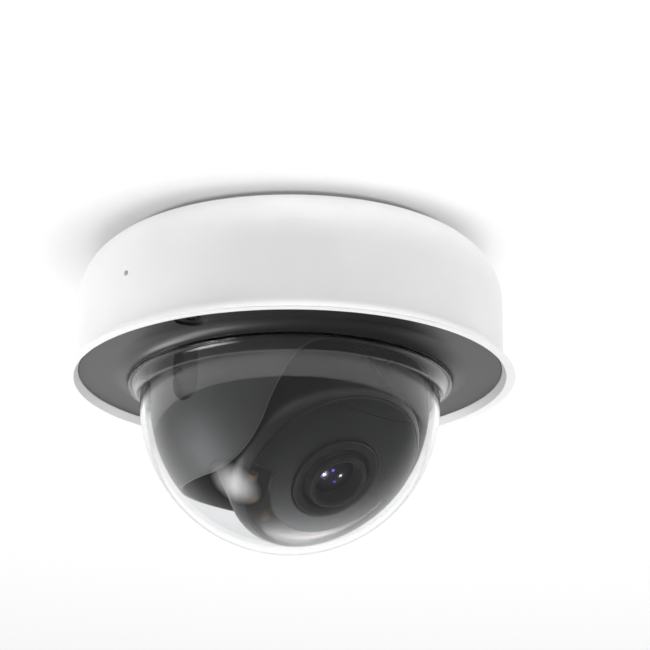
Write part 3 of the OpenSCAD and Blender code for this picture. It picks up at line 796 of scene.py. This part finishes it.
# Lengths are in metres from here on
VIEW_UP = math.radians(18.15)       # how far the camera looks up
VIEW_LEVEL = -0.051                 # level of the point that the camera stands back from
VIEW_DISTANCE = 8.0
VIEW_SHIFT = (0.01285, 0.0185)      # the picture's centre, right of and above that point
PIXELS_PER_METRE = 2723             # at that point
FRAME_PIXELS = 650
SENSOR = 36.0
CEILING_RINGS = (0.056, 0.12, 0.3, 0.95)
CEILING_LEVEL = 0.0004
CEILING_GLOW = 0.10
STUDIO_DARK = 0.27                  # on the camera's side, up to where a direction's Y is
STUDIO_DARK_Y = 0.3
STUDIO_BRIGHT = 1.12                # behind the object, from where it is
STUDIO_BRIGHT_Y = 1.0
STUDIO_TOP = 0.8                    # above, between these values of a direction's Z
STUDIO_TOP_START = 0.05
STUDIO_TOP_END = 0.25
STUDIO_LOW = 0.60                   # share of it that mirrors behind the dome see below
STUDIO_LOW_Z = 0.05
STUDIO_HIGH_Z = 0.27
DOME_FACES_PASSED = 4               # by a ray that goes in through the dome and out again
LAMP_TARGET = -0.06                 # level that the lamps face
KEY_POWER = 13.0
SIDE_POWER = 9.0
RIGHT_POWER = 3.6
FILL_POWER = 17.0
LIFT_POWER = 10.5
CROWN_POWER = 4.6
GLINT_POWER = 6.0
UNDER_POWER = 3.0
EMITTER_POWER = 34.0
CARD_GLOW = 11.0                    # the soft spot that the dome mirrors
CARD_R = 0.2
CARD_DIRECTION = (-0.555, 0.02, -0.83)
CARD_DISTANCE = 0.6
SPARK_POWER = 0.8
SPARKS = (
    ("spark_violet", (0.576, -0.175, -0.798), (0.35, 0.16, 1.0)),
    ("spark_magenta", (0.80, 0.45, -0.40), (1.0, 0.12, 0.75)),
    ("spark_white", (0.689, 0.30, -0.66), (1.0, 1.0, 1.0)),
)


def make_camera():
    """Stands below and in front of the object and looks up at it, a little right and above."""
    back = Vector((0, -math.cos(VIEW_UP), -math.sin(VIEW_UP)))
    up = Vector((0, -math.sin(VIEW_UP), math.cos(VIEW_UP)))
    level = Vector((0, 0, VIEW_LEVEL))
    aim = level + Vector((VIEW_SHIFT[0], 0, 0)) + up * VIEW_SHIFT[1]
    data = bpy.data.cameras.new("camera")
    data.sensor_width = SENSOR
    data.lens = PIXELS_PER_METRE * VIEW_DISTANCE * SENSOR / FRAME_PIXELS
    camera = bpy.data.objects.new("camera", data)
    camera.location = level + back * VIEW_DISTANCE
    camera.rotation_mode = "QUATERNION"
    camera.rotation_quaternion = (aim - camera.location).to_track_quat("-Z", "Y")
    bpy.context.scene.collection.objects.link(camera)
    bpy.context.scene.camera = camera


def make_ceiling():
    """A pale ceiling seen only from below, open over the mounting plate."""
    bm = bmesh.new()
    steps = 96
    turns = [2 * math.pi * i / steps for i in range(steps)]
    rings = [[bm.verts.new((r * math.cos(a), r * math.sin(a), CEILING_LEVEL)) for a in turns]
             for r in CEILING_RINGS]
    for one, other in zip(rings, rings[1:]):
        for i in range(steps):
            j = (i + 1) % steps
            bm.faces.new((one[i], one[j], other[j], other[i]))
    mesh = bpy.data.meshes.new("ceiling")
    bm.to_mesh(mesh)
    bm.free()
    ceiling = bpy.data.objects.new("ceiling", mesh)
    bpy.context.scene.collection.objects.link(ceiling)
    material = bpy.data.materials.new("ceiling")
    tree = blank_tree(material)
    paint = add_node(tree, "BsdfDiffuse", Color=(0.8, 0.8, 0.8, 1))
    glow = add_node(tree, "Emission", Strength=CEILING_GLOW)
    both = add_node(tree, "AddShader")
    clear = add_node(tree, "BsdfTransparent")
    side = add_node(tree, "NewGeometry")
    mix = add_node(tree, "MixShader")
    output = add_node(tree, "OutputMaterial")
    tree.links.new(paint.outputs[0], both.inputs[0])
    tree.links.new(glow.outputs[0], both.inputs[1])
    tree.links.new(side.outputs["Backfacing"], mix.inputs["Fac"])
    tree.links.new(both.outputs[0], mix.inputs[1])
    tree.links.new(clear.outputs[0], mix.inputs[2])
    tree.links.new(mix.outputs[0], output.inputs["Surface"])
    ceiling.data.materials.append(material)
    return ceiling


def linked(lamp, pieces):
    """Light linking: the lamp lights these pieces only."""
    lit = bpy.data.collections.new(lamp.name + "_lit")
    lamp.light_linking.receiver_collection = lit
    for piece in pieces:
        lit.objects.link(piece)
    for entry in lit.collection_objects:
        entry.light_linking.link_state = "INCLUDE"


def softbox(name, direction, distance, size, power):
    """A round area light that faces the dome from a direction."""
    data = bpy.data.lights.new(name, "AREA")
    data.shape = "DISK"
    data.size = size
    data.energy = power
    lamp = bpy.data.objects.new(name, data)
    target = Vector((0, 0, LAMP_TARGET))
    lamp.location = target + Vector(direction).normalized() * distance
    lamp.rotation_mode = "QUATERNION"
    lamp.rotation_quaternion = (target - lamp.location).to_track_quat("-Z", "Y")
    bpy.context.scene.collection.objects.link(lamp)
    return lamp


def make_dome_glow():
    """A round card, bright in its middle, that shows only as a soft spot on glossy pieces."""
    bm = bmesh.new()
    bmesh.ops.create_circle(bm, cap_ends=True, segments=48, radius=CARD_R)
    mesh = bpy.data.meshes.new("dome_glow")
    bm.to_mesh(mesh)
    bm.free()
    card = bpy.data.objects.new("dome_glow", mesh)
    aim = Vector(CARD_DIRECTION).normalized()
    card.location = Vector((0, 0, DOME_Z * MM)) + aim * CARD_DISTANCE
    card.rotation_mode = "QUATERNION"
    card.rotation_quaternion = aim.to_track_quat("Z", "Y")
    bpy.context.scene.collection.objects.link(card)
    for ray in ("camera", "diffuse", "transmission", "volume_scatter", "shadow"):
        setattr(card, "visible_" + ray, False)
    material = bpy.data.materials.new("dome_glow")
    tree = blank_tree(material)
    place = add_node(tree, "TexCoord")
    away = add_node(tree, "VectorMath", "LENGTH")
    fade = add_node(tree, "MapRange", From_Max=CARD_R, To_Min=CARD_GLOW, To_Max=0.0)
    fade.interpolation_type = "SMOOTHSTEP"
    glow = add_node(tree, "Emission")
    output = add_node(tree, "OutputMaterial")
    tree.links.new(place.outputs["Object"], away.inputs[0])
    tree.links.new(away.outputs["Value"], fade.inputs["Value"])
    tree.links.new(fade.outputs["Result"], glow.inputs["Strength"])
    tree.links.new(glow.outputs[0], output.inputs["Surface"])
    card.data.materials.append(material)


def dimmed_below(tree, height):
    """The share of the studio's light left for a ray: less near the ground, for rays that a
    piece behind the dome has mirrored, which pass the dome's two faces in and out again."""
    low = add_node(tree, "MapRange", From_Min=STUDIO_LOW_Z, From_Max=STUDIO_HIGH_Z,
                   To_Min=STUDIO_LOW)
    low.interpolation_type = "SMOOTHSTEP"
    tree.links.new(height, low.inputs["Value"])
    path = add_node(tree, "LightPath")
    mirrored = add_node(tree, "Math", "MINIMUM")
    mirrored.inputs[1].default_value = 1.0
    tree.links.new(path.outputs["Glossy Depth"], mirrored.inputs[0])
    indoors = add_node(tree, "Math", "GREATER_THAN")
    indoors.inputs[1].default_value = DOME_FACES_PASSED - 0.5
    tree.links.new(path.outputs["Transmission Depth"], indoors.inputs[0])
    both = add_node(tree, "Math", "MULTIPLY")
    tree.links.new(mirrored.outputs["Value"], both.inputs[0])
    tree.links.new(indoors.outputs["Value"], both.inputs[1])
    share = add_node(tree, "Mix")
    share.inputs["A"].default_value = 1.0
    tree.links.new(both.outputs["Value"], share.inputs["Factor"])
    tree.links.new(low.outputs["Result"], share.inputs["B"])
    return share.outputs["Result"]


def make_world():
    """A white studio behind the object and above it, dark on the camera's side."""
    world = bpy.data.worlds.new("studio")
    tree = blank_tree(world)
    place = add_node(tree, "TexCoord")
    parts = add_node(tree, "SeparateXYZ")
    tree.links.new(place.outputs["Generated"], parts.inputs["Vector"])
    behind = add_node(tree, "MapRange", From_Min=STUDIO_DARK_Y, From_Max=STUDIO_BRIGHT_Y,
                      To_Min=STUDIO_DARK, To_Max=STUDIO_BRIGHT)
    behind.interpolation_type = "SMOOTHSTEP"
    tree.links.new(parts.outputs["Y"], behind.inputs["Value"])
    above = add_node(tree, "MapRange", From_Min=STUDIO_TOP_START, From_Max=STUDIO_TOP_END,
                     To_Max=STUDIO_TOP)
    tree.links.new(parts.outputs["Z"], above.inputs["Value"])
    brightest = add_node(tree, "Math", "MAXIMUM")
    tree.links.new(behind.outputs["Result"], brightest.inputs[0])
    tree.links.new(above.outputs["Result"], brightest.inputs[1])
    level = add_node(tree, "Math", "MULTIPLY")
    tree.links.new(brightest.outputs["Value"], level.inputs[0])
    tree.links.new(dimmed_below(tree, parts.outputs["Z"]), level.inputs[1])
    studio = add_node(tree, "Background", Color=(1, 1, 1, 1))
    tree.links.new(level.outputs["Value"], studio.inputs["Strength"])
    seen = add_node(tree, "Background", Color=(0.93, 0.93, 0.93, 1))
    path = add_node(tree, "LightPath")
    mix = add_node(tree, "MixShader")
    output = add_node(tree, "OutputWorld")
    tree.links.new(path.outputs["Is Camera Ray"], mix.inputs["Fac"])
    tree.links.new(studio.outputs[0], mix.inputs[1])
    tree.links.new(seen.outputs[0], mix.inputs[2])
    tree.links.new(mix.outputs[0], output.inputs["Surface"])
    bpy.context.scene.world = world


def make_lights(cover, ceiling, inside, head, glass):
    """Soft lamps, each kept to the pieces that it is for: a key from the left, a wide fill
    from below, and small lamps that only the head and the lens mirror."""
    left = (-0.85, 0.12, -0.48)
    below = (0.1, -0.2, -1)
    emitters = frame["nodes"]["ir_leds"]
    lamps = (
        ("key", left, 1.2, 0.8, KEY_POWER, inside + head[:1]),
        ("side", left, 1.2, 0.8, SIDE_POWER, [cover]),
        ("fill", below, 1.0, 1.6, FILL_POWER, [ceiling]),
        ("lift", below, 1.0, 1.6, LIFT_POWER, [cover]),
        ("crown", (0, -0.25, 0.97), 1.0, 0.8, CROWN_POWER, [cover]),
        ("right", (0.85, 0.3, -0.4), 1.2, 0.8, RIGHT_POWER, [cover]),
        ("glint", (-0.86, 0.25, -0.34), 0.8, 0.3, GLINT_POWER, head),
        ("under", (0.26, 0.62, -0.73), 0.6, 0.24, UNDER_POWER, head),
        ("emitter_key", (-0.4, -0.3, -0.9), 0.8, 0.3, EMITTER_POWER, [emitters]))
    for name, direction, distance, size, power, pieces in lamps:
        lamp = softbox(name, direction, distance, size, power)
        lamp.data.use_shadow = name != "crown"
        linked(lamp, pieces)
    for name, direction, tint in SPARKS:
        spark = softbox(name, direction, 0.8, 0.05, SPARK_POWER)
        spark.data.color = tint
        linked(spark, glass)


# --- Build ----------------------------------------------------------------------------------

SOFT_NODES = ("mount_plate", "base_housing", "cable_grommet", "cover_screws", "dome_retainer",
              "housing_seal", "turntable", "cradle", "rear_can", "left_yoke_arm",
              "right_yoke_arm")


def soften_nodes():
    """Small bevels on the edges of the CAD nodes that stay in view."""
    for name in SOFT_NODES:
        node = frame["nodes"][name]
        bevel = node.modifiers.new("soft_edges", "BEVEL")
        bevel.width = 0.25 * MM
        bevel.segments = 2
        bevel.limit_method = "ANGLE"
        bevel.angle_limit = math.radians(40)
        bevel.harden_normals = True


make_materials()
slots = {row["node"]: row["material_slot"] for row in frame["record"]["subparts"]}
for name, node in frame["nodes"].items():
    node.data.materials.clear()
    node.data.materials.append(MATERIALS[slots[name]])

make_camera()
soften_nodes()
cover = make_cover()
inside = [make_bezel(), make_liner(), make_slot_bead(), make_cheek_inserts()]
make_dome()
head = [make_head_shell()] + make_face()
make_lens_mounts()
glass = make_lens_glass()
ceiling = make_ceiling()
make_world()
make_lights(cover, ceiling, inside, head, glass)
make_dome_glow()
bpy.context.scene.view_settings.view_transform = "Standard"
